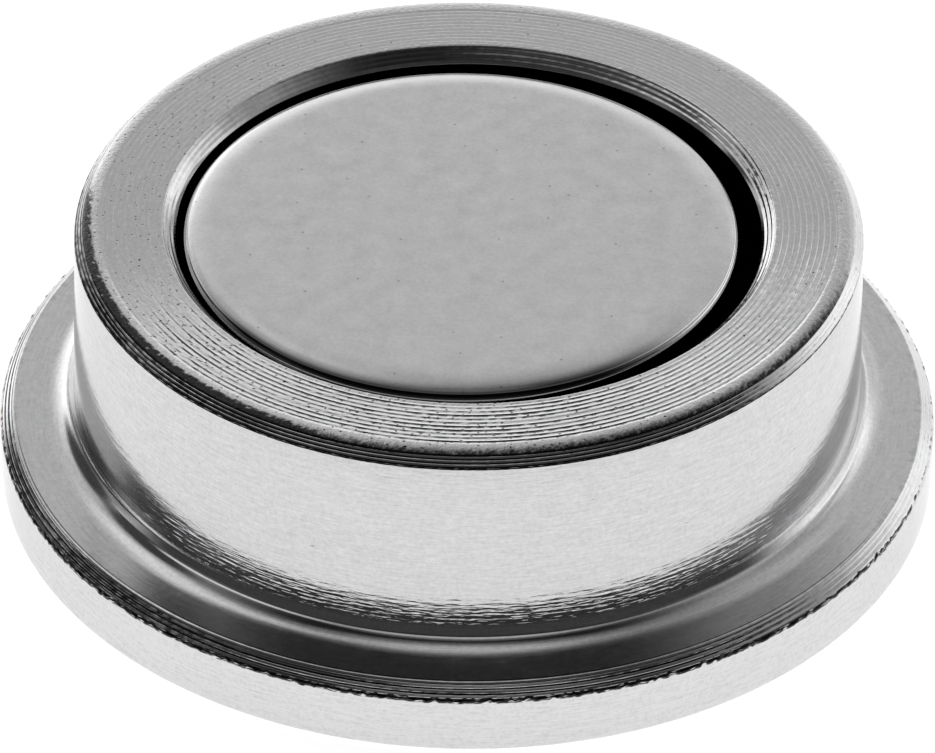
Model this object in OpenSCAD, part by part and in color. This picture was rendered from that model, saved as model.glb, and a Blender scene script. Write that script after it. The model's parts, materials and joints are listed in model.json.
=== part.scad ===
// A flanged pot magnet: a disc magnet set in a turned steel pot.
// The pot is one turned piece, with a wide thin flange at its foot and a
// blind recess in its face. The magnet lies flat on the recess floor, a
// little to one side of its centre, and stands just proud of the rim.
// Z is up, and the origin is at the middle of the underside.

/* [Body] */
// Outer diameter of the pot's body
body_d = 14.4; // [12:0.1:15.2]
// Height of the pot's rim above the flange's upper face
body_h = 4.05; // [3.2:0.05:8]
// Chamfer round the rim's outer edge
rim_chamfer = 0.25; // [0.05:0.01:0.35]

/* [Flange] */
// Outer diameter of the flange
flange_d = 17.3; // [16.4:0.1:24]
// Thickness of the flange
flange_t = 1.38; // [0.8:0.01:3]
// Chamfer on the flange's upper edge
flange_chamfer = 0.25; // [0.05:0.01:0.35]
// Radius of the fillet where the body meets the flange
foot_fillet_r = 0.6; // [0.05:0.01:0.8]
// Edge break round the underside
base_break = 0.08; // [0.02:0.01:0.3]

/* [Recess] */
// Clearance between the magnet and the recess wall, all round, when centred
recess_clearance = 0.35; // [0.25:0.01:0.6]
// Chamfer at the mouth of the recess
mouth_chamfer = 0.25; // [0.05:0.01:0.35]
// Radius that the tool leaves in the corner of the recess floor
recess_corner_r = 0.15; // [0.05:0.01:0.2]

/* [Magnet] */
// Diameter of the disc magnet
magnet_d = 10; // [6:0.1:12]
// Thickness of the disc magnet
magnet_h = 4; // [1.5:0.1:5]
// How far the magnet's face stands above the rim
magnet_proud = 0.1; // [-0.4:0.01:0.5]
// Radius of the plated magnet's rounded edges
magnet_edge_r = 0.24; // [0.2:0.01:0.5]
// Gap left where the magnet lies nearest to the recess wall
magnet_side_gap = 0.08; // [0.02:0.01:0.2]
// Direction in which the magnet lies off centre, from the +X axis
magnet_lean_angle = 238; // [0:1:359]

/* [Hidden] */
$fn = 96;

body_r = body_d / 2;
flange_r = flange_d / 2;
magnet_r = magnet_d / 2;
recess_r = magnet_r + recess_clearance;
rim_z = flange_t + body_h;
floor_z = rim_z + magnet_proud - magnet_h;
magnet_shift = recess_clearance - magnet_side_gap;

// Straight steps along each rounded edge's quarter arc
ARC_STEPS = 8;

// Points along an arc of radius r about centre, from angle a to angle b
function arc(centre, r, a, b) = [
    for (i = [0 : ARC_STEPS])
        let (t = a + (b - a) * i / ARC_STEPS)
            centre + r * [cos(t), sin(t)]
];

// Half section of the pot, from its axis out along the underside, up the
// outside, over the rim and back down the recess to its floor
function pot_profile() = concat(
    [[0, 0], [flange_r - base_break, 0], [flange_r, base_break]],
    [[flange_r, flange_t - flange_chamfer], [flange_r - flange_chamfer, flange_t]],
    arc([body_r + foot_fillet_r, flange_t + foot_fillet_r], foot_fillet_r, 270, 180),
    [[body_r, rim_z - rim_chamfer], [body_r - rim_chamfer, rim_z]],
    [[recess_r + mouth_chamfer, rim_z], [recess_r, rim_z - mouth_chamfer]],
    arc([recess_r - recess_corner_r, floor_z + recess_corner_r], recess_corner_r, 0, -90),
    [[0, floor_z]]
);

// Half section of the magnet, with both its edges rounded
function magnet_profile() = concat(
    [[0, 0]],
    arc([magnet_r - magnet_edge_r, magnet_edge_r], magnet_edge_r, -90, 0),
    arc([magnet_r - magnet_edge_r, magnet_h - magnet_edge_r], magnet_edge_r, 0, 90),
    [[0, magnet_h]]
);

// The turned steel pot, flange and all, in one piece
module steel_pot() {
    color([0.66, 0.66, 0.67])
        rotate_extrude()
            polygon(pot_profile());
}

// The nickel plated disc magnet, resting on the recess floor
module disc_magnet() {
    color([0.76, 0.76, 0.75])
        rotate(magnet_lean_angle)
            translate([magnet_shift, 0, floor_z])
                rotate_extrude()
                    polygon(magnet_profile());
}

steel_pot();
disc_magnet();
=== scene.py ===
# %% [markdown]
# A disc magnet in its turned steel pot
#
# The object is a small magnetic catch: a nickel plated disc magnet that lies in
# the recess of a flanged pot turned from bright steel. Both are bare metal, so
# almost everything that can be seen on them is a reflection, broken up by tool
# marks. The lesson is therefore in three parts: real turned geometry with its feed
# marks, metal finishes with finer marks in the shader, and a studio whose bright
# and dark parts are placed for the metal to mirror.
#
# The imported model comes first. Every later size is read from it or named once.

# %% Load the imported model
import json
import math
import bpy
import numpy as np
from mathutils import Matrix, Vector


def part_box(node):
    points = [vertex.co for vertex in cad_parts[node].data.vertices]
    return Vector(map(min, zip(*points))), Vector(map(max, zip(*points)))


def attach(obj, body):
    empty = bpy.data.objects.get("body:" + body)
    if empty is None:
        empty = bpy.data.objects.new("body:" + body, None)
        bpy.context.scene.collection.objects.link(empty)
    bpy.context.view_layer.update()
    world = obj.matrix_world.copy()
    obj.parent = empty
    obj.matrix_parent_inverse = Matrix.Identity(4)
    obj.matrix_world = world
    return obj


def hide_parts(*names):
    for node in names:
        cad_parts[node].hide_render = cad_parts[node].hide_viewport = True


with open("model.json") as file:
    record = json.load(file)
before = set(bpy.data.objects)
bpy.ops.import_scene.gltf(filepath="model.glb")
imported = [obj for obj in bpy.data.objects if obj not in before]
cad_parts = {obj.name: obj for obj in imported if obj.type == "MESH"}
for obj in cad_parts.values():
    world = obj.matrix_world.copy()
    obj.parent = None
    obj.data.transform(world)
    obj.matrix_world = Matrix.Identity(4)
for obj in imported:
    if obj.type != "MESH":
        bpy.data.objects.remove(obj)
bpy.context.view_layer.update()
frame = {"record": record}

# %% [markdown]
# Sizes of the pot and the magnet
#
# The CAD boxes and mounts already hold most sizes: the body's mount gives its
# radius and the stretch of plain wall, so the rim's chamfer and the foot's fillet
# follow by subtraction. The clearance in the recess and the small edges are not in
# the frame, so they repeat the part's own values. All the profiles below are in
# millimetres, because a lathe worker thinks in them, and are turned into metres
# only when a mesh is made.

# %% Read the sizes
MM = 0.001


def in_mm(vector):
    return np.array(vector) / MM


pot_high = in_mm(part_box("steel_pot")[1])
magnet_low, magnet_high = (in_mm(v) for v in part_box("disc_magnet"))
mounts = {mount["name"]: mount for mount in frame["record"]["mounts"]}

flange_r = pot_high[0]
rim_z = pot_high[2]
body_r = mounts["body"]["dims"]["r_mm"]
wall_middle_z = mounts["body"]["pos_m"][2] / MM
wall_half = mounts["body"]["dims"]["length_mm"] / 2
flange_z = mounts["flange_seat"]["pos_m"][2] / MM
rim_chamfer = rim_z - wall_middle_z - wall_half
foot_fillet = wall_middle_z - wall_half - flange_z

magnet_r = (magnet_high[0] - magnet_low[0]) / 2
magnet_x = (magnet_high[0] + magnet_low[0]) / 2
magnet_y = (magnet_high[1] + magnet_low[1]) / 2
recess_floor_z = magnet_low[2]
magnet_top_z = magnet_high[2]

recess_clearance = 0.35
recess_r = magnet_r + recess_clearance
mouth_chamfer = 0.25
recess_corner = 0.15
flange_chamfer = 0.25
base_break = 0.08
print("body r", body_r, "rim z", round(rim_z, 3))
print("rim chamfer", round(rim_chamfer, 3), "foot fillet", round(foot_fillet, 3))
print("magnet r", round(magnet_r, 3), "centre", round(magnet_x, 3), round(magnet_y, 3))
print("recess floor z", round(recess_floor_z, 3))

# %% [markdown]
# The camera
#
# The photograph is a close-up taken with a long lens from about 36 degrees above
# the bench. The place, lens and small turns of the camera come from fitting a
# pinhole camera to the outlines of the rim, the recess and the flange. Distances
# are in body radii, so that they scale with the part.

# %% Place the camera
# Angles are in radians and the distance in metres
IMAGE_WIDTH = 935
FOCAL_PIXELS = 7901.2
SENSOR_WIDTH = 36.0
HEIGHT_ANGLE = 0.62299
DISTANCE = 20.0 * body_r * MM
PITCH = -0.02001
ROLL = 0.00963


def look_matrix(target):
    """A camera in front of the target, aimed at it and then turned by the small angles."""
    place = target + DISTANCE * Vector((0, -math.cos(HEIGHT_ANGLE), math.sin(HEIGHT_ANGLE)))
    aim = Matrix.Rotation(math.pi / 2 - HEIGHT_ANGLE, 4, "X")
    small_turns = Matrix.Rotation(PITCH, 4, "X") @ Matrix.Rotation(ROLL, 4, "Z")
    return Matrix.Translation(place) @ aim @ small_turns


camera_data = bpy.data.cameras.new("camera")
camera = bpy.data.objects.new("camera", camera_data)
bpy.context.scene.collection.objects.link(camera)
bpy.context.scene.camera = camera
camera_data.sensor_width = SENSOR_WIDTH
camera_data.lens = FOCAL_PIXELS * SENSOR_WIDTH / IMAGE_WIDTH
camera_data.clip_start = 0.01
camera_data.clip_end = 5.0
camera.matrix_world = look_matrix(Vector((0, 0, rim_z * MM)))
print("lens", round(camera_data.lens, 1), "mm")
print("camera at", [round(v, 4) for v in camera.matrix_world.translation])

# %% [markdown]
# A lathe for meshes
#
# A turned part is a profile spun round an axis. Blender's Screw modifier or a spin
# would do that, but every ring would get the same number of points. Here the tool
# marks need many points on the rim and hardly any on the underside, so a small
# lathe builds the rings itself. A ring may have any multiple of its neighbour's
# points, and the strip between the two is closed with fans of triangles, so the
# result is one watertight surface.

# %% Describe one ring
FINE = 720
MEDIUM = 360
COARSE = 120


class Ring:
    """One turn of the profile: radius and height in mm, number of points, and a wobble of each by angle.

    The dirt and painted shade, from 0 to 1, are one number or a function of the angle.
    The strip from a flat ring to the next one isn't shaded smooth, so that its steps stay crisp.
    """

    def __init__(self, r, z, count, wobble=None, dirt=0.0, flat=False):
        self.r = r
        self.z = z
        self.count = count
        self.wobble = wobble
        self.dirt = dirt
        self.flat = flat

    def angles(self):
        return np.arange(self.count) * (2 * math.pi / self.count)

    def dirt_and_shade_by_angle(self):
        return self.dirt(self.angles()) if callable(self.dirt) else np.full(self.count, self.dirt)

    def points(self):
        angle = self.angles()
        dr, dz = self.wobble(angle) if self.wobble else (0.0, 0.0)
        r = self.r + dr
        z = self.z + dz
        return np.stack([r * np.cos(angle), r * np.sin(angle), z + 0 * angle], axis=1)


print("points in a ring:", FINE, MEDIUM, "or", COARSE)

# %% Spin rings into a mesh
def strip(first_a, count_a, first_b, count_b):
    """Faces between ring a and ring b, whose point counts are equal or one a multiple of the other."""
    if count_a == count_b:
        around = [(j, (j + 1) % count_a) for j in range(count_a)]
        return [(first_a + j, first_a + k, first_b + k, first_b + j) for j, k in around]
    coarse_is_a = count_a < count_b
    coarse, fine = (count_a, count_b) if coarse_is_a else (count_b, count_a)
    first_coarse, first_fine = (first_a, first_b) if coarse_is_a else (first_b, first_a)
    ratio = fine // coarse
    half = ratio // 2
    faces = []
    for j in range(coarse):
        here = first_coarse + j
        there = first_coarse + (j + 1) % coarse
        steps = [first_fine + (j * ratio + i) % fine for i in range(ratio + 1)]
        fan = [(here, steps[i + 1], steps[i]) for i in range(half)]
        fan.append((here, there, steps[half]))
        fan += [(there, steps[i + 1], steps[i]) for i in range(half, ratio)]
        faces += fan if coarse_is_a else [triangle[::-1] for triangle in fan]
    return faces


def lathe(name, rings, centre=(0.0, 0.0)):
    """Spins the rings, from the middle of the underside to the middle of the top, into one closed mesh."""
    counts = [ring.count for ring in rings]
    firsts = [1 + sum(counts[:i]) for i in range(len(rings))]
    last = 1 + sum(counts)
    bottom = [[0, 0, rings[0].z]]
    top = [[0, 0, rings[-1].z]]
    points = np.concatenate([bottom, *[ring.points() for ring in rings], top])
    dirt = np.concatenate([[0], *[ring.dirt_and_shade_by_angle() for ring in rings], [0]])

    faces = [(0, 1 + (j + 1) % counts[0], 1 + j) for j in range(counts[0])]
    smooth = [True] * len(faces)
    for i, ring in enumerate(rings[:-1]):
        band = strip(firsts[i], counts[i], firsts[i + 1], counts[i + 1])
        faces += band
        smooth += [not ring.flat] * len(band)
    faces += [(last, firsts[-1] + j, firsts[-1] + (j + 1) % counts[-1]) for j in range(counts[-1])]
    smooth += [True] * (len(faces) - len(smooth))

    place = (points + np.array([centre[0], centre[1], 0.0])) * MM
    mesh = bpy.data.meshes.new(name)
    mesh.from_pydata(place.tolist(), [], faces)
    mesh.polygons.foreach_set("use_smooth", smooth)
    # The dirt and painted shade are stored with the points for the finish to read.
    mesh.attributes.new("dirt", "FLOAT", "POINT").data.foreach_set("value", dirt)
    piece = bpy.data.objects.new(name, mesh)
    bpy.context.scene.collection.objects.link(piece)
    print(name, "has", len(rings), "rings and", sum(len(face) - 2 for face in faces), "triangles")
    return piece


# %% [markdown]
# Torn edges, and patches of dirt and painted shade
#
# Steel tears a little as it is cut, so no edge is a perfect circle and no mark is
# equally deep all round. The side towards the camera is also torn more than the
# rest, and darkened with dirt and painted shade. Both could be painted as an image.
# Here they are functions of the angle round the part, sums of waves with random
# turns, so that the same curve can push the points of a ring and say how dark they
# are. The generator of the random numbers has a fixed seed, and the part comes out
# the same each time.

# %% Draw random curves round the part
SLOW_WAVES = (2, 12, 24)
MARK_WAVES = (30, 240, 48)
TORN_WAVES = (40, 340, 60)
JAGGED_WAVES = (60, 340, 60)
rng = np.random.default_rng(7)


def ripple(low, high, count):
    """A random curve round the part, about 1 high, made of count waves with low to high turns."""
    turns = rng.integers(low, high, count)
    phase = rng.uniform(0, 2 * math.pi, count)
    return lambda angle: np.sum(np.cos(np.outer(angle, turns) + phase), axis=1) * math.sqrt(2 / count)


def jagged(out, up):
    """A burr: a ring that is pushed in and out, and up and down, by two torn curves."""
    first = ripple(*JAGGED_WAVES)
    second = ripple(*JAGGED_WAVES)
    return lambda angle: (-out * np.abs(first(angle)), up * second(angle))


# %% Say where marks, dirt and painted shade are strong
def strongest_at(azimuth, inner, outer, least=0.0):
    """1 within inner degrees of a direction, least beyond outer degrees, and a smooth fade between.

    The direction is in degrees too, with 0 towards the camera and 90 to the right.
    """
    middle = math.radians(azimuth - 90)

    def fade(angle):
        facing = np.cos(angle - middle)
        low = math.cos(math.radians(outer))
        share = np.clip((facing - low) / (math.cos(math.radians(inner)) - low), 0, 1)
        return least + (1 - least) * share * share * (3 - 2 * share)

    return fade


def torn_patches(share, azimuth, inner, outer):
    """Dirt and painted shade in torn patches, as much as share, within some degrees of a direction."""
    tear = ripple(*TORN_WAVES)
    near = strongest_at(azimuth, inner, outer)
    return lambda angle: np.clip(share * near(angle) * (0.85 + 0.5 * tear(angle)), 0, 1)


# %% [markdown]
# Rounded corners
#
# A corner is never quite sharp on real steel: a tiny arc there catches a line of
# light. A Bevel modifier could add it, with a weight set on every edge between the
# tool marks. Drawn in the profile, each corner simply has its own radius, and a
# holding ring beyond each end of the arc keeps the smooth shading on the arc.

# %% Draw a corner
def unit(a, b):
    """Direction from a to b."""
    step = np.subtract(b, a)
    return step / np.hypot(*step)


def corner(before, point, after, radius, steps, count, hold=0.012, wobble=None):
    """A small arc that rounds the profile's corner at point, with rings held hold mm beyond its ends."""
    back = unit(point, before)
    on = unit(point, after)
    half = math.acos(np.clip(back @ on, -1, 1)) / 2
    reach = radius / math.tan(half)
    middle = np.add(point, unit((0, 0), back + on) * radius / math.sin(half))
    start = np.add(point, back * reach) - middle
    end = np.add(point, on * reach) - middle
    sweep = math.pi - 2 * half
    rings = [Ring(*np.add(point, back * (reach + hold)), count, wobble)]
    for i in range(steps + 1):
        t = i / steps
        offset = (math.sin((1 - t) * sweep) * start + math.sin(t * sweep) * end) / math.sin(sweep)
        rings.append(Ring(*(middle + offset), count, wobble))
    rings.append(Ring(*np.add(point, on * (reach + hold)), count, wobble))
    return rings


# %% [markdown]
# Feed marks
#
# A feed mark is the shallow step that the tool leaves at each turn of the work: a
# gentle slope, then a short steep flank. Bump could fake it, but the steps in the
# photograph catch the light along their edges, so they are rings of the mesh. The
# print of the tool is listed once for each cut and repeated at each turn. Dirt and
# painted shade darken the grooves and are stored with the points.

# %% Repeat the print of a tool
FEED = 0.1
DEEPEST = 2.2
# Dirt and painted shade in the grooves: how black they get where they are blackened, and how much the
# darkening tears.
BLACK_SHARE = 0.48
BLACK_TEAR = 0.12
DIRT_AND_SHADE_TEAR = 0.15


def trimmed(a, b, off_a, off_b):
    """The ends of the line from a to b, after off_a and off_b mm are cut off it."""
    along = unit(a, b)
    return np.add(a, along * off_a), np.subtract(b, along * off_b)


def feed_marks(start, end, print_of_tool, pitch, depth, rough, torn, fade, blackening=None):
    """Rings along a straight cut, with one print of the tool for each pitch.

    The print lists (share of the pitch, share of the depth, dirt and painted shade).
    The depth varies round the part, slowly by rough and quickly by torn. The fade
    says where the marks are deep and dark, and blackening, where there is any, where
    they are black as well with dirt and painted shade.
    """
    along = unit(start, end)
    inward = np.array([-along[1], along[0]])
    length = np.hypot(*np.subtract(end, start))
    marks = max(1, round(length / pitch))

    def mark_ring(place, sink, dirt, level, tear):
        def wobble(angle):
            amount = depth * sink * np.clip(1 + rough * level(angle) + torn * tear(angle), 0.0, DEEPEST)
            amount = amount * fade(angle)
            return inward[0] * amount, inward[1] * amount

        def dirt_and_shade_by_angle(angle):
            extra = blackening(angle) * (BLACK_SHARE + BLACK_TEAR * tear(angle)) if blackening else 0.0
            return np.clip(dirt * (fade(angle) + DIRT_AND_SHADE_TEAR * tear(angle)) + extra, 0, 1)

        return Ring(*place, FINE, wobble, dirt_and_shade_by_angle, flat=True)

    rings = []
    for k in range(marks):
        level = ripple(*SLOW_WAVES)
        tear = ripple(*MARK_WAVES)
        for share, sink, dirt in print_of_tool:
            place = np.add(start, along * length * (k + share) / marks)
            rings.append(mark_ring(place, sink, dirt, level, tear))
    return rings


# %% [markdown]
# The flange of the pot
#
# The pot is drawn from the middle of the underside outwards, up over the flange
# and the body, over the rim and down the recess to its floor. The flange is a thin
# disc whose upper edge was chamfered by hand with a coarse tool. The chamfer's
# lower edge is torn, and darkened along the front with dirt and painted shade. Two
# clean rings under it keep the shading of the torn edge off the flange's side,
# which is seen from below too.

# %% Draw the flange
EDGE_DIRT_AND_SHADE = (1.3, 1.8, 2.2, 2.2, 1.8)
HAND_PRINT = [(0.0, 1.0, 1.0), (0.14, 0.35, 0.2), (0.26, 0.0, 0.0), (0.6, 0.4, 0.15), (0.72, 0.75, 0.95)]

underside = [Ring(flange_r * 0.4, 0, COARSE), Ring(flange_r * 0.97, 0, MEDIUM)]
low_edge = corner((0, 0), (flange_r, 0), (flange_r, rim_z), base_break, 4, MEDIUM)
chamfer_low = (flange_r, flange_z - flange_chamfer)
chamfer_top = (flange_r - flange_chamfer, flange_z)
clean_side = [Ring(flange_r, chamfer_low[1] - drop, MEDIUM) for drop in (0.10, 0.07)]
flange_edge = corner(
    (flange_r, 0), chamfer_low, chamfer_top, 0.03, 2, FINE, hold=0.022, wobble=jagged(out=0.004, up=0.014),
)
# Dirt and painted shade in torn patches along the front of the chamfer's lower edge.
for ring, share in zip(flange_edge, EDGE_DIRT_AND_SHADE):
    ring.dirt = torn_patches(share, -5, 62, 85)
flange_cut = feed_marks(
    *trimmed(chamfer_low, chamfer_top, 0.045, 0.03), HAND_PRINT, FEED, depth=0.012, rough=0.15, torn=0.05,
    fade=strongest_at(-38, 62, 95, 0.2), blackening=strongest_at(-56, 16, 36),
)
flange_lip = corner(chamfer_low, chamfer_top, (0, flange_z), 0.05, 2, FINE)
# Dirt and painted shade on the front of the lip.
flange_lip[-1].dirt = strongest_at(-10, 60, 85)
flange_face = [Ring(flange_r - flange_chamfer - 0.06, flange_z, MEDIUM)]
flange = underside + low_edge + clean_side + flange_edge + flange_cut + flange_lip + flange_face
print("the flange takes", len(flange), "rings")

# %% [markdown]
# The foot and the wall
#
# A round-nosed tool leaves a fillet where the body meets the flange. Half way up
# it, a worn corner of that tool has scribed a fine line round the front: a facet
# whose upper edge is sunk a little, so that it mirrors the lamp overhead. The
# fillet meets the wall in a tight turn, and the wall leans out by less than a
# tenth of a millimetre towards the foot. The lean is too small to see as a shape,
# but it tilts the reflections, as in the photograph.

# %% Draw the foot and the wall
LEAN = 0.07
LEAN_CURVE = 1.3
WALL_END = 0.205
SCRIBED_IN = 0.004
SCRIBED_DOWN = 0.017
foot_r = body_r + LEAN / 2 + foot_fillet
foot_z = flange_z + foot_fillet
wall_top_z = rim_z - rim_chamfer
wall_end_z = foot_z - WALL_END
scribed = strongest_at(10, 45, 75)


def on_fillet(slope):
    """A point of the fillet, whose slope is 0 degrees on the flange and 90 on the wall."""
    turn = math.radians(slope)
    return foot_r - foot_fillet * math.sin(turn), foot_z - foot_fillet * math.cos(turn)


def scribe(angle):
    """The upper edge of the scribed line, which is sunk along the front."""
    return -SCRIBED_IN * scribed(angle), -SCRIBED_DOWN * scribed(angle)


def wall_r(z):
    """Radius of the wall, which leans out a little towards the foot."""
    down = (wall_top_z - z) / (wall_top_z - foot_z)
    return body_r + LEAN * max(down, 0.0) ** LEAN_CURVE


foot = [Ring(*on_fillet(slope), MEDIUM) for slope in range(0, 45, 5)]
foot.append(Ring(*on_fillet(45), MEDIUM, flat=True))
foot.append(Ring(*on_fillet(49), MEDIUM, scribe))
foot += [Ring(*on_fillet(slope), MEDIUM) for slope in (54, 59)]
foot.append(Ring(*on_fillet(64), MEDIUM, flat=True))
wall_heights = [wall_end_z, wall_end_z + 0.02, *np.linspace(foot_z, wall_top_z - 0.08, 7)]
wall = [Ring(wall_r(z), z, MEDIUM) for z in wall_heights]
wall[0].flat = True
print("the foot takes", len(foot), "rings and the wall", len(wall))

# %% [markdown]
# The rim's outer edge
#
# The rim's chamfer is not one clean cut. It starts with a few coarse marks beside
# the wall, then rounds over slowly to the face, where it was rubbed by hand. At
# the back the rounding is quicker. Its slope falls off along a power curve, and
# the heights follow by adding up the steps down from the face. Grey dirt and
# painted shade cover the start of the rounding along the front, and the front left
# is nearly black with them.

# %% Draw the coarse marks beside the wall
STEEP_WIDTH = 0.155
ROUND_WIDTH = 0.30
ROUND_STEPS = 8
ROUND_START_SLOPE = math.radians(32)
ROUND_CURVE = 1.3
STEEP_PRINT = [(0.0, 1.0, 1.0), (0.34, 0.8, 1.0), (0.46, 0.6, 0.1), (0.82, 0.0, 0.0), (0.96, 0.85, 0.1)]

round_r = [body_r - STEEP_WIDTH - ROUND_WIDTH * i / ROUND_STEPS for i in range(ROUND_STEPS + 1)]
round_slope = [ROUND_START_SLOPE * (1 - (i + 0.5) / ROUND_STEPS) ** ROUND_CURVE for i in range(ROUND_STEPS)]
round_rise = [ROUND_WIDTH / ROUND_STEPS * math.tan(slope) for slope in round_slope]
round_z = [rim_z - sum(round_rise[i:]) for i in range(ROUND_STEPS + 1)]
rim_low = (body_r, wall_top_z)
rim_mid = (round_r[0], round_z[0])
front_left = strongest_at(-60, 22, 40)
rim_edge = corner(
    (body_r, 0), rim_low, rim_mid, 0.02, 1, FINE, hold=0.01, wobble=jagged(out=0.001, up=0.0015),
)
# Dirt and painted shade in torn patches along the front of the rim's lower edge.
for ring in rim_edge[1:]:
    ring.dirt = torn_patches(1.3, -4, 70, 90)
# The coarse marks are darkened with dirt and painted shade, and black at the front left.
rim_cut = feed_marks(
    *trimmed(rim_low, rim_mid, 0.02, 0.0), STEEP_PRINT, pitch=0.065, depth=0.008, rough=0.25, torn=0.08,
    fade=strongest_at(-32, 62, 90, 0.15), blackening=front_left,
)
print("the coarse marks take", len(rim_edge) + len(rim_cut), "rings")

# %% Round the rim over to the face
ROUND_TEAR = 0.0015
# How dark the rounding is made with dirt and painted shade: grey along the front, nearly black at the front
# left.
GREY = 1.05
GREY_CURVE = 1.2
BLACKEST = 2.1
BLACKEST_FALL = 0.42


def round_wobble(z, step):
    """The rounding is slow at the front and quick at the back, and its surface is torn."""
    tear = ripple(*TORN_WAVES)
    here = strongest_at(0, 100, 150)
    share = 0.6 + 0.4 * step / ROUND_STEPS

    def rise(angle):
        lift = (rim_z - z) * share * (1 - here(angle))
        return 0.0, lift + ROUND_TEAR * tear(angle) * here(angle)

    return rise


def round_dirt_and_shade(step):
    """Torn and darkened towards the chamfer all along the front, and black at the front left, with dirt and
    painted shade.
    """
    tear = ripple(*JAGGED_WAVES)
    front = strongest_at(-10, 70, 105)
    grey = GREY * (1 - step / ROUND_STEPS) ** GREY_CURVE
    blackest = max(0.0, BLACKEST - BLACKEST_FALL * step)

    def dirt_and_shade_by_angle(angle):
        torn = tear(angle)
        smudge = grey * front(angle) * (1 + 0.12 * torn)
        blacker = blackest * front_left(angle) * (0.9 + 0.4 * torn)
        return np.clip(smudge + blacker, 0, 1)

    return dirt_and_shade_by_angle


rim_round = []
for step, (r, z) in enumerate(zip(round_r, round_z)):
    rim_round.append(Ring(r, z, FINE, round_wobble(z, step), round_dirt_and_shade(step)))
rim = rim_edge + rim_cut + rim_round
print("the rounding takes", len(rim_round), "rings and falls", round(rim_z - round_z[0], 3), "mm")

# %% [markdown]
# The rim's face and the recess
#
# The face is cut from the outside inwards, a little over 0.1 mm for each turn.
# Its marks are deepest on the side that faces the camera, where the photograph
# shows them clearly, and die away round the back. The mouth of the recess is a
# chamfer with marks of its own, clearest at the right. The recess is dark because
# it is deep and narrow, and painted shade on its wall keeps stray reflections out
# of it.

# %% Draw the face and the recess
FACE_PRINT = [(0.0, 1.0, 0.35), (0.04, 0.95, 0.35), (0.23, 0.0, 0.0), (0.6, 0.5, 0.0)]
MOUTH_PRINT = [(0.0, 1.0, 0.3), (0.12, 0.9, 0.1), (0.5, 0.1, 0.0), (0.6, 0.0, 0.0)]
# How far each top ring of the recess drops below the mouth, and how dark its painted shade is.
RECESS_TOP = [(0.01, 0.2), (0.06, 1.0), (0.5, 1.0)]

mouth_edge = (recess_r + mouth_chamfer, rim_z)
mouth_low = (recess_r, rim_z - mouth_chamfer)
face_cut = feed_marks(
    *trimmed((round_r[-1], rim_z), mouth_edge, 0.03, 0.03), FACE_PRINT, pitch=0.107, depth=0.0155,
    rough=0.12, torn=0.10, fade=strongest_at(12, 50, 115, 0.15),
)
mouth_arc = corner(
    (body_r, rim_z), mouth_edge, mouth_low, 0.05, 3, FINE, hold=0.008, wobble=jagged(out=0.002, up=0.002),
)
mouth_cut = feed_marks(
    *trimmed(mouth_edge, mouth_low, 0.04, 0.02), MOUTH_PRINT, FEED, depth=0.010, rough=0.15, torn=0.08,
    fade=strongest_at(90, 50, 100, 0.25),
)
recess_top = [Ring(recess_r, mouth_low[1] - drop, MEDIUM, None, dirt) for drop, dirt in RECESS_TOP]
recess_foot = (recess_r, recess_floor_z)
recess = corner((recess_r, rim_z), recess_foot, (0, recess_floor_z), recess_corner, 4, COARSE)
# Painted shade: the recess's wall and floor are made fully dark.
for ring in recess:
    ring.dirt = 1.0
inside = face_cut + mouth_arc + mouth_cut + recess_top + recess
print("the face and the recess take", len(inside), "rings")

# %% Spin the pot
pot = lathe("steel_pot_turned", flange + foot + wall + rim + inside)

# %% [markdown]
# The disc magnet
#
# A sintered disc is tumbled before it is plated, which rounds its edge: broad and
# shallow on the face, like a pillow, then quickly over to the side in an arc. The
# shallow part is drawn as a few slopes, from the face outwards, because no single
# curve is so flat for so long. The front of the edge, where it lies nearest to the
# pot, is darkened with painted shade.

# %% Make the magnet
PLATE_THICKNESS = 0.06
FACE_DROP = 0.07
EDGE_RADIUS = 0.14
ARC_START = math.radians(34.0)
ARC_STEPS = 12
UNSHADED_STEPS = 2
# How far in from the side the painted shade on the front of the edge reaches, and over how much it fades.
EDGE_SHADE_REACH = 0.27
EDGE_SHADE_FADE = 0.19
# Distances in from the side, in mm, and the slope in degrees from each to the next
EDGE_SLOPES = [
    (0.64, 1.0), (0.56, 4.0), (0.48, 7.0), (0.40, 10.0), (0.32, 13.0),
    (0.25, 16.0), (0.19, 19.0), (0.14, 22.0), (0.09, 26.0), (0.06, 31.0),
]


def front_edge_shade(share):
    """Painted shade along the front of the edge, as much as share, that fades to both sides."""
    near = strongest_at(-10, 38, 68)
    return lambda angle: min(share, 1.0) * near(angle)


def magnet_edge(face_z, direction):
    """Rings from the face at face_z over the edge to the side; direction is 1 for the top, -1 below."""
    side_r = magnet_r + PLATE_THICKNESS
    z = face_z
    rings = []
    ends = [inset for inset, slope in EDGE_SLOPES[1:]] + [EDGE_RADIUS * (1 - math.sin(ARC_START))]
    for (inset, slope), end in zip(EDGE_SLOPES, ends):
        # Painted shade on the front of the edge, stronger nearer the side.
        painted_shade = front_edge_shade(max(0.0, (EDGE_SHADE_REACH - inset) / EDGE_SHADE_FADE))
        rings.append(Ring(side_r - inset, z, MEDIUM, None, painted_shade))
        z -= direction * (inset - end) * math.tan(math.radians(slope))
    for i in range(ARC_STEPS + 1):
        slope = ARC_START + (math.pi / 2 - ARC_START) * i / ARC_STEPS
        drop = EDGE_RADIUS * (math.cos(ARC_START) - math.cos(slope))
        # Painted shade over the arc, except its last steps.
        painted_shade = front_edge_shade(float(i < ARC_STEPS - UNSHADED_STEPS))
        r = side_r - EDGE_RADIUS * (1 - math.sin(slope))
        rings.append(Ring(r, z - direction * drop, MEDIUM, None, painted_shade))
    return rings


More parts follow.
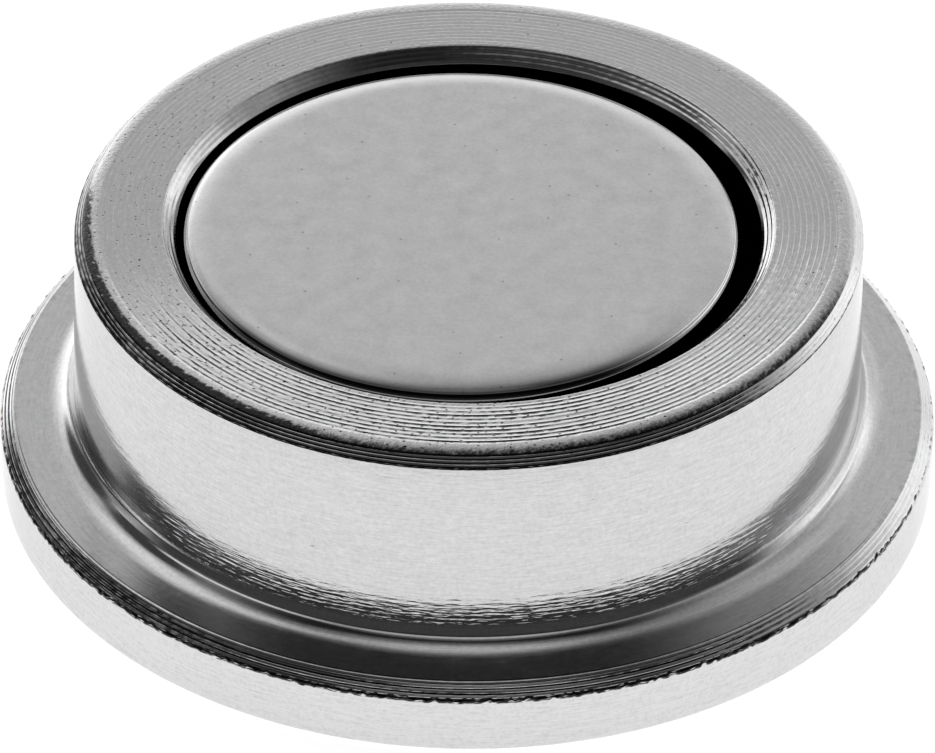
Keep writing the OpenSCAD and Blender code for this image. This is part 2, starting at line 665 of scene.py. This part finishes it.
face_z = magnet_top_z - FACE_DROP
magnet_under = [Ring(magnet_r * share, recess_floor_z, COARSE) for share in (0.3, 0.6)]
magnet_face = [Ring(magnet_r * 0.8, face_z, MEDIUM), Ring(magnet_r * 0.3, face_z, COARSE)]
magnet_rings = magnet_under + magnet_edge(recess_floor_z, -1) + magnet_edge(face_z, 1)[::-1] + magnet_face
magnet = lathe("disc_magnet_plated", magnet_rings, (magnet_x, magnet_y))

# %% [markdown]
# Sums in shader nodes
#
# Shader maths is easier to read as a sum than as a web of nodes. A Wire holds one
# output socket, and adding, multiplying or comparing Wires adds the Math nodes.
# Every other node comes from Nodes.add, which sets the node's settings first and
# then fills its sockets with numbers or Wires.

# %% Wrap a socket
class Wire:
    """A value that changes over a surface: one output socket, with the usual operators for numbers."""

    def __init__(self, socket):
        self.socket = socket

    @staticmethod
    def math(operation, *items):
        tree = next(item.socket.id_data for item in items if isinstance(item, Wire))
        node = tree.nodes.new("ShaderNodeMath")
        node.operation = operation
        for entry, item in zip(node.inputs, items):
            plug(entry, item)
        return Wire(node.outputs[0])

    def __add__(self, other):
        return Wire.math("ADD", self, other)

    __radd__ = __add__

    def __sub__(self, other):
        return Wire.math("SUBTRACT", self, other)

    def __rsub__(self, other):
        return Wire.math("SUBTRACT", other, self)

    def __mul__(self, other):
        return Wire.math("MULTIPLY", self, other)

    __rmul__ = __mul__

    def __truediv__(self, other):
        return Wire.math("DIVIDE", self, other)

    def __pow__(self, other):
        return Wire.math("POWER", self, other)

    def __gt__(self, other):
        return Wire.math("GREATER_THAN", self, other)

    def __lt__(self, other):
        return Wire.math("LESS_THAN", self, other)

    def sine(self):
        return Wire.math("SINE", self)


def plug(entry, item):
    """Links a Wire into a socket, or writes a plain value on it."""
    if isinstance(item, Wire):
        entry.id_data.links.new(item.socket, entry)
    else:
        entry.default_value = item


# %% Fill a node tree
class Nodes:
    """A node tree that is being filled."""

    def __init__(self, tree):
        self.tree = tree
        tree.nodes.clear()

    def add(self, kind, settings=None, sockets=None, out=0):
        node = self.tree.nodes.new("ShaderNode" + kind)
        for key, value in (settings or {}).items():
            setattr(node, key, value)
        for key, value in (sockets or {}).items():
            plug(node.inputs[key], value)
        return Wire(node.outputs[out]) if node.outputs else node

    def between(self, value, low, high):
        """0 below low, 1 above high, and a smooth rise between."""
        limits = {"Value": value, "From Min": low, "From Max": high}
        return self.add("MapRange", {"interpolation_type": "SMOOTHSTEP"}, limits)

    def blend(self, factor, first, second):
        """The first colour where factor is 0, the second where it is 1."""
        return self.add("Mix", {"data_type": "RGBA"}, {0: factor, 6: first, 7: second}, 2)

    def vector(self, x, y, z):
        return self.add("CombineXYZ", None, {"X": x, "Y": y, "Z": z})

    def split(self, vector):
        """The x, y and z of a vector."""
        first = self.add("SeparateXYZ", None, {0: vector})
        return [Wire(out) for out in first.socket.node.outputs]

    def cells(self, place, scale):
        """Distance to the middle of the nearest scattered cell, and a random number for that cell."""
        settings = {"voronoi_dimensions": "2D"}
        distance = self.add("TexVoronoi", settings, {"Vector": place, "Scale": scale}, "Distance")
        color = Wire(distance.socket.node.outputs["Color"])
        return distance, self.add("SeparateColor", None, {"Color": color})

    def noise(self, place, scale, detail=2.0, rough=0.5):
        sockets = {"Vector": place, "Scale": scale, "Detail": detail, "Roughness": rough}
        return self.add("TexNoise", None, sockets)


# %% Start and close a finish
def new_finish(name):
    """An empty material and its nodes."""
    material = bpy.data.materials.new(name)
    material.use_nodes = True
    return material, Nodes(material.node_tree)


def close_metal(nodes, color, roughness, height):
    """Bare metal with this colour and roughness, and the height in mm as bump."""
    bump = nodes.add("Bump", None, {"Strength": 1.0, "Distance": MM, "Height": height}, "Normal")
    shader = nodes.add("BsdfPrincipled", None, {
        "Base Color": color, "Metallic": 1.0, "Roughness": roughness, "Normal": bump,
    })
    nodes.add("OutputMaterial", None, {"Surface": shader})


# %% [markdown]
# Where a point is on a turned part
#
# The finishes follow the tool, so they need two directions: round the part, and
# along the profile. The radius minus the height grows all the way from the rim's
# face down to the foot and out over the flange, so it serves as the distance along
# the profile. The direction round the part is a unit vector, which has no seam.

# %% Find the directions of the lathe
class TurnedPlace:
    """A shaded point seen from the axis at centre, in mm, and the dirt and painted shade stored there."""

    def __init__(self, nodes, centre=(0.0, 0.0)):
        self.nodes = nodes
        metres = nodes.add("TexCoord", out="Object")
        self.mm = nodes.add("VectorMath", {"operation": "SCALE"}, {0: metres, "Scale": 1 / MM})
        x, y, self.z = nodes.split(self.mm)
        self.x = x - centre[0]
        self.y = y - centre[1]
        self.r = (self.x * self.x + self.y * self.y) ** 0.5
        self.along = self.r - self.z
        self.dirt = nodes.add("Attribute", {"attribute_name": "dirt"}, None, "Fac")

    def streaks(self, around, across, detail=2.0, rough=0.5, shift=0.0):
        """Noise drawn out round the part: around is waves per turn or so, across is marks per mm."""
        side_x = self.x / self.r * around
        side_y = self.y / self.r * around
        place = self.nodes.vector(side_x, side_y, self.along * across + shift)
        return self.nodes.noise(place, 1.0, detail, rough)


# %% [markdown]
# Turned steel
#
# The pot is bare bright steel, a little darker than plating. Each of its surfaces
# was cut or rubbed in another way, so the finish first needs to know which one a
# point is on. Separate materials for each would show seams, so one material works
# it out from the height and the radius.

# %% Find the surfaces of the pot
class PotZones:
    """The pot's surfaces, each 1 on itself and 0 elsewhere; facing is 1 towards the camera, -1 away.

    Each limit has a small margin, in mm, so that it falls beside a surface and not on it.
    """

    def __init__(self, nodes, place):
        self.face = (place.z > rim_z - 0.03) * (place.r < body_r - 0.2)
        plain = nodes.between(place.r, round_r[-1] - 0.03, round_r[-1] + 0.05)
        self.band = (place.z > rim_z - 0.08) * plain
        self.flange = (place.z < flange_z + 0.1) * (place.z > flange_z - 0.02)
        self.wall = (place.z > wall_end_z - 0.01) * (place.r > body_r - 0.005)
        self.side = place.r > flange_r - 0.02
        self.facing = place.y / place.r * -1.0
        low = 1 - nodes.between(place.z, foot_z - 0.1, foot_z + 0.6)
        self.near_foot = low * nodes.between(self.facing, 0.3, 0.8)


# %% [markdown]
# Marks too fine for the mesh
#
# Three things are left to bump and colour. Streaks follow the tool round the part,
# and near the foot of the wall they break the mirrored edge of the bench into
# dashes and sparks. A fine mottle takes the gloss off the face and the plain band
# by the rim. Small pits lie in the face, most of them at the front left, and a few
# nicks in the wall. Marks deep enough to have a shape of their own are in the mesh.

# %% Raise and sink the fine marks
# Depths in mm
DASH_DEPTH = 0.0015
FOOT_DASH_DEPTH = 0.007
SPARK_DEPTH = 0.009
FEED_DEPTH = 0.002
FACE_GRAIN = 0.0016
FACE_MOTTLE = 0.0015
BAND_GRAIN = 0.006
BAND_MOTTLE = 0.012
STREAK_DEPTH = 0.0006
PIT_DEPTH = 0.010
# A cell of the pattern holds a pit where its random number is above this, less where the face is worn
PIT_LIMIT = 0.988
PIT_WORN = 0.34


class SteelMarks:
    """Patterns of the fine marks on the pot, and the height in mm that they make together."""

    def __init__(self, nodes, place, on):
        self.streaks = place.streaks(16.0, 40.0, 3.0, 0.65, 7.0)
        self.mottle = nodes.noise(place.mm, 12.0, 3.0, 0.6)
        self.grain = nodes.noise(place.mm, 30.0, 2.0, 0.6)
        slow = place.streaks(3.0, 2.5, 1.0, 0.5, 3.0)

        drift = nodes.vector(place.x + self.mottle * 0.12, place.y + slow * 0.2, 0.0)
        pits, lot = nodes.cells(drift, 7.0)
        worn = on.face * nodes.between(place.y * -0.6 - place.x * 0.8, -3.0, 5.0)
        self.pit = on.face * (1 - nodes.between(pits, 0.05, 0.17)) * (lot > PIT_LIMIT - worn * PIT_WORN)
        self.nick = on.wall * nodes.between(place.streaks(34.0, 26.0, 2.0, 0.5, 11.0), 0.735, 0.80)

        dashes = place.streaks(15.0, 12.0, 2.0, 0.45)
        sparks = place.streaks(24.0, 26.0, 1.0, 0.5, 5.0)
        feed = (place.z * (2 * math.pi / FEED) + slow * 9.0).sine()
        dash_height = (DASH_DEPTH + DASH_DEPTH * on.facing + FOOT_DASH_DEPTH * on.near_foot) * dashes
        wall_height = on.wall * (dash_height + on.near_foot * sparks * SPARK_DEPTH)
        wall_height = wall_height + on.wall * on.near_foot * feed * dashes * FEED_DEPTH

        front = nodes.between(place.x * 0.2 - place.y, -3.0, 3.0)
        face_texture = self.grain * FACE_GRAIN + self.mottle * FACE_MOTTLE
        face_height = on.face * (0.3 + 0.7 * front) * face_texture
        band_height = on.band * (self.mottle * BAND_MOTTLE + self.grain * BAND_GRAIN)
        height = wall_height + face_height + band_height
        self.height = height + self.streaks * STREAK_DEPTH - self.pit * PIT_DEPTH


# %% [markdown]
# Colour and gloss of the steel
#
# The steel varies between a bright and a dull grey with the streaks and the
# mottle. Painted light makes the front of the face and of the flange's side
# brighter, and painted shade makes the sides and back of the wall duller. The edge
# of the flange's upper face carries a ragged stain, and the dirt and painted shade
# stored in the mesh are laid over everything, broken up by the mottle so that they
# don't look sprayed on.

# %% Finish for the pot
BRIGHT_STEEL = (0.72, 0.72, 0.725, 1)
DULL_STEEL = (0.52, 0.52, 0.525, 1)
# Colour of the dirt and the painted shade.
DIRT_AND_PAINTED_SHADE = (0.03, 0.03, 0.03, 1)
STAIN_TEETH = 60.0


def flange_stain(nodes, place, on):
    """A stain on the flange's upper face, with ragged teeth that point inwards from its chamfer."""
    around_x = place.x / place.r * STAIN_TEETH
    around_y = place.y / place.r * STAIN_TEETH
    teeth = nodes.noise(nodes.vector(around_x, around_y, place.r * 2.0), 1.0, 2.0)
    edge_r = flange_r - flange_chamfer
    ragged = on.flange * nodes.between(teeth + (place.r - edge_r) * 1.6, 0.42, 0.56)
    return ragged * nodes.between(place.r, edge_r - 0.35, edge_r - 0.1)


def turned_steel():
    material, nodes = new_finish("turned_steel")
    place = TurnedPlace(nodes)
    on = PotZones(nodes, place)
    marks = SteelMarks(nodes, place, on)
    stain = flange_stain(nodes, place, on)

    polish_and_painted_light = 0.5 + 1.6 * (marks.streaks - 0.5) + 1.2 * (marks.mottle - 0.5) - stain * 0.5
    # Painted light and shade: the face and the flange's side are brighter towards the camera, and the wall
    # is duller at its sides and back.
    polish_and_painted_light = polish_and_painted_light + on.face * (0.75 * nodes.between(on.facing, 0.1, 0.8) - 0.4)
    polish_and_painted_light = polish_and_painted_light + on.side * (0.6 * nodes.between(on.facing, 0.0, 0.8) - 0.25)
    polish_and_painted_light = polish_and_painted_light - on.wall * (1 - nodes.between(on.facing, 0.1, 0.6)) * 0.5
    clean = nodes.blend(polish_and_painted_light, DULL_STEEL, BRIGHT_STEEL)

    # Dirt and painted shade stored in the mesh, with the pits and nicks, darken the steel.
    patchy = place.dirt * (0.4 + 0.5 * marks.mottle + 0.7 * marks.grain)
    darkened = nodes.between(patchy, 0.15, 0.95) + marks.pit * 0.9 + marks.nick * 0.6
    color = nodes.blend(darkened, clean, DIRT_AND_PAINTED_SHADE)
    roughness = 0.06 + 0.08 * marks.streaks + 0.05 * marks.mottle + on.flange * 0.08
    close_metal(nodes, color, roughness, marks.height)
    return material


steel = turned_steel()
print("turned_steel has", len(steel.node_tree.nodes), "nodes")

# %% [markdown]
# Nickel plate
#
# The plating is more satin than the steel: it spreads each reflection over a wide
# angle, so the face is an even grey with only a faint cloudiness and a few dark
# specks. Handling has polished the plate on the edge, which is nearly a mirror
# there, and painted shade stored in the mesh darkens its front.

# %% Finish for the magnet
PLATE_SHADE = 0.64
SATIN_ROUGHNESS = 0.26
EDGE_POLISH = 0.24
POLISHED_FROM = 0.14
POLISHED_TO = 0.06
# How dark the painted shade on the front of the edge makes the plate.
EDGE_SHADE_DEPTH = 0.95
GRAIN_HEIGHT = 0.0012


def nickel_plate():
    material, nodes = new_finish("nickel_plate")
    place = TurnedPlace(nodes, (magnet_x, magnet_y))
    cloud = nodes.noise(place.mm, 2.2, 4.0, 0.6)
    grain = nodes.noise(place.mm, 16.0, 2.0, 0.5)
    specks, lot = nodes.cells(place.mm, 1.1)
    speck = (1 - nodes.between(specks, 0.01, 0.04)) * (lot > 0.5)
    shade = PLATE_SHADE + (cloud - 0.5) * 0.22 + (grain - 0.5) * 0.16 - speck * 0.25
    # Painted shade stored in the mesh darkens the front of the edge.
    shade = shade * (1 - EDGE_SHADE_DEPTH * place.dirt)
    color = nodes.vector(shade, shade, shade)
    edge = nodes.between(place.r, magnet_r - POLISHED_FROM, magnet_r - POLISHED_TO)
    roughness = SATIN_ROUGHNESS + 0.06 * cloud - EDGE_POLISH * edge
    close_metal(nodes, color, roughness, (grain - 0.5) * GRAIN_HEIGHT)
    return material


nickel = nickel_plate()
print("nickel_plate has", len(nickel.node_tree.nodes), "nodes")

# %% [markdown]
# Join the pieces to the model
#
# Both meshes stand for their CAD node and ride on the one body.

# %% Ride, replace and name the slots
pot.data.materials.append(steel)
magnet.data.materials.append(nickel)
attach(pot, "root")
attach(magnet, "root")
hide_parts("steel_pot")
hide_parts("disc_magnet")
print(pot.name, "and", magnet.name, "ride on the body")

# %% [markdown]
# Directions in the studio
#
# The bench and the room are both arranged by compass: so many degrees round from
# the camera, and so many up from the horizon.

# %% Turn a compass direction into a vector
def toward(azimuth, elevation=0.0):
    """Unit vector for a direction in degrees (0 towards the camera, 90 to the right) and a height."""
    side = math.radians(azimuth)
    up = math.radians(elevation)
    return (math.cos(up) * math.sin(side), -math.cos(up) * math.cos(side), math.sin(up))


print("the camera's direction is", toward(0))

# %% [markdown]
# The bench
#
# A white sheet lies under the part. Part of its light is its own, which keeps the
# shadow soft and pale. The foot of the pot mirrors the sheet in front of it, and
# in the photograph that mirror image is dark a short way out, where the sheet runs
# into the dark side of the room. So the sheet fades to dark there, for mirrored
# rays only, and the camera still sees it white. From below the camera sees through
# it, so that the underside can be looked at.

# %% Lay the floor
FLOOR_SIZE = 1.2
FLOOR_DROP = 0.02
FLOOR_GLOW = 0.85
FADE_AZIMUTH = -20
# The mirrored sheet is white up to the first distance and dark from the second, in mm
LIT_REACH = (14.3, 17.5)
NEAR_MATT = (0.8, 0.8, 0.8, 1)
FAR_MATT = (0.05, 0.05, 0.05, 1)
NEAR_GLOW = (1, 1, 1, 1)
FAR_GLOW = (0.03, 0.03, 0.03, 1)

floor_mesh = bpy.data.meshes.new("floor")
reach = FLOOR_SIZE / 2
below = -FLOOR_DROP * MM
corners = [(-reach, -reach, below), (reach, -reach, below), (reach, reach, below), (-reach, reach, below)]
floor_mesh.from_pydata(corners, [], [(0, 1, 2, 3)])
floor = bpy.data.objects.new("floor", floor_mesh)
bpy.context.scene.collection.objects.link(floor)


def white_bench():
    material, nodes = new_finish("white_bench")
    behind = nodes.add("NewGeometry", out="Backfacing")
    camera_ray = nodes.add("LightPath", out="Is Camera Ray")
    x, y, _ = nodes.split(nodes.add("TexCoord", out="Object"))
    distance = (x * x + y * y) ** 0.5
    fade_x, fade_y, _ = toward(FADE_AZIMUTH)
    ahead = nodes.between((x * fade_x + y * fade_y) / distance, -0.55, 0.0)
    far = ahead * nodes.between(distance, LIT_REACH[0] * MM, LIT_REACH[1] * MM) * (1 - camera_ray)
    matt = nodes.add("BsdfDiffuse", None, {"Color": nodes.blend(far, NEAR_MATT, FAR_MATT)})
    glow_color = nodes.blend(far, NEAR_GLOW, FAR_GLOW)
    glow = nodes.add("Emission", None, {"Color": glow_color, "Strength": FLOOR_GLOW})
    bench = nodes.add("AddShader", None, {0: matt, 1: glow})
    clear = nodes.add("BsdfTransparent")
    surface = nodes.add("MixShader", None, {0: behind * camera_ray, 1: bench, 2: clear})
    nodes.add("OutputMaterial", None, {"Surface": surface})
    return material


floor_mesh.materials.append(white_bench())
print("floor", FLOOR_SIZE, "m wide")

# %% [markdown]
# The studio
#
# The room round the part is one smooth pattern of light, written as a function of
# direction. Lamps and cards would do it too, but their edges would show in the
# mirror-like wall. There is a white backdrop behind and to both sides that darkens
# upwards, with brighter and darker patches of its own. The side of the room behind
# the camera is dark down to the horizon, with two dark wings at the left, and a
# soft lamp hangs overhead. The chamfers and the foot of the pot mirror the dark
# side, and turn nearly black.

# %% Light the room
ROOM_DARK = 0.015
ROOM_HAZE = 0.045
LAMP = 0.4
DARK_AZIMUTH = -4
BACKDROP = 1.35
# How much the backdrop darkens, and the heights between which it does
FALLS = [(0.73, 0.05, 0.60), (0.40, 0.72, 0.99)]
# Brightness, then direction, height, inner and outer radius in degrees
PATCHES = [
    (0.1, 122, 11, 7, 26),
    (-0.15, 109, 33, 8, 19),
    (0.4, -152, 4, 6, 30),
    (0.5, -132, 58, 8, 22),
    (-0.55, 154, 2, 3, 22),
    (-0.9, -112, 0, 8, 18),
]
# Direction, height, inner and outer radius in degrees
WINGS = [(-100, 33, 9, 18), (-122, 13, 10, 18)]


def cosine(degrees):
    return math.cos(math.radians(degrees))


def room_light(nodes, direction):
    """Brightness of the room in each direction, for reflections and for the light on the bench.

    Heights are the z of the direction, from 0 on the horizon to 1 overhead.
    """
    x, y, z = nodes.split(direction)
    level = (x * x + y * y + 0.0001) ** 0.5

    def spot(azimuth, elevation, inner, outer):
        """1 in the middle of a round patch of the room, 0 outside it; both radii are angles in degrees."""
        a, b, c = toward(azimuth, elevation)
        return nodes.between(x * a + y * b + z * c, cosine(outer), cosine(inner))

    backdrop = BACKDROP
    for fall, low, high in FALLS:
        backdrop = backdrop - fall * nodes.between(z, low, high)
    for brightness, *patch in PATCHES:
        backdrop = backdrop + brightness * spot(*patch)

    dark_x, dark_y, _ = toward(DARK_AZIMUTH)
    facing = (x * dark_x + y * dark_y) / level
    high_up = nodes.between(z, 0.35, 0.55)
    broad = nodes.between(facing, cosine(132), cosine(50))
    narrow = nodes.between(facing, cosine(112), cosine(80))
    side = broad * high_up + narrow * (1 - high_up)
    for patch in WINGS:
        wing = spot(*patch)
        side = side + wing - side * wing
    dark = side * (1 - nodes.between(z, 0.88, 0.985))
    gloom = ROOM_DARK + ROOM_HAZE * (1 - nodes.between(z, 0.55, 0.85))
    return backdrop - dark * (backdrop - gloom) + LAMP * spot(0, 90, 6, 18)


world = bpy.data.worlds.new("studio")
bpy.context.scene.world = world
world.use_nodes = True
nodes = Nodes(world.node_tree)
brightness = room_light(nodes, nodes.add("TexCoord", out="Generated"))
seen = nodes.add("LightPath", out="Is Camera Ray")
strength = brightness * (1 - seen) + seen
background = nodes.add("Background", None, {"Color": (1, 1, 1, 1), "Strength": strength})
nodes.add("OutputWorld", None, {"Surface": background})
bpy.context.scene.view_settings.view_transform = "Standard"
print("studio has", len(world.node_tree.nodes), "nodes")
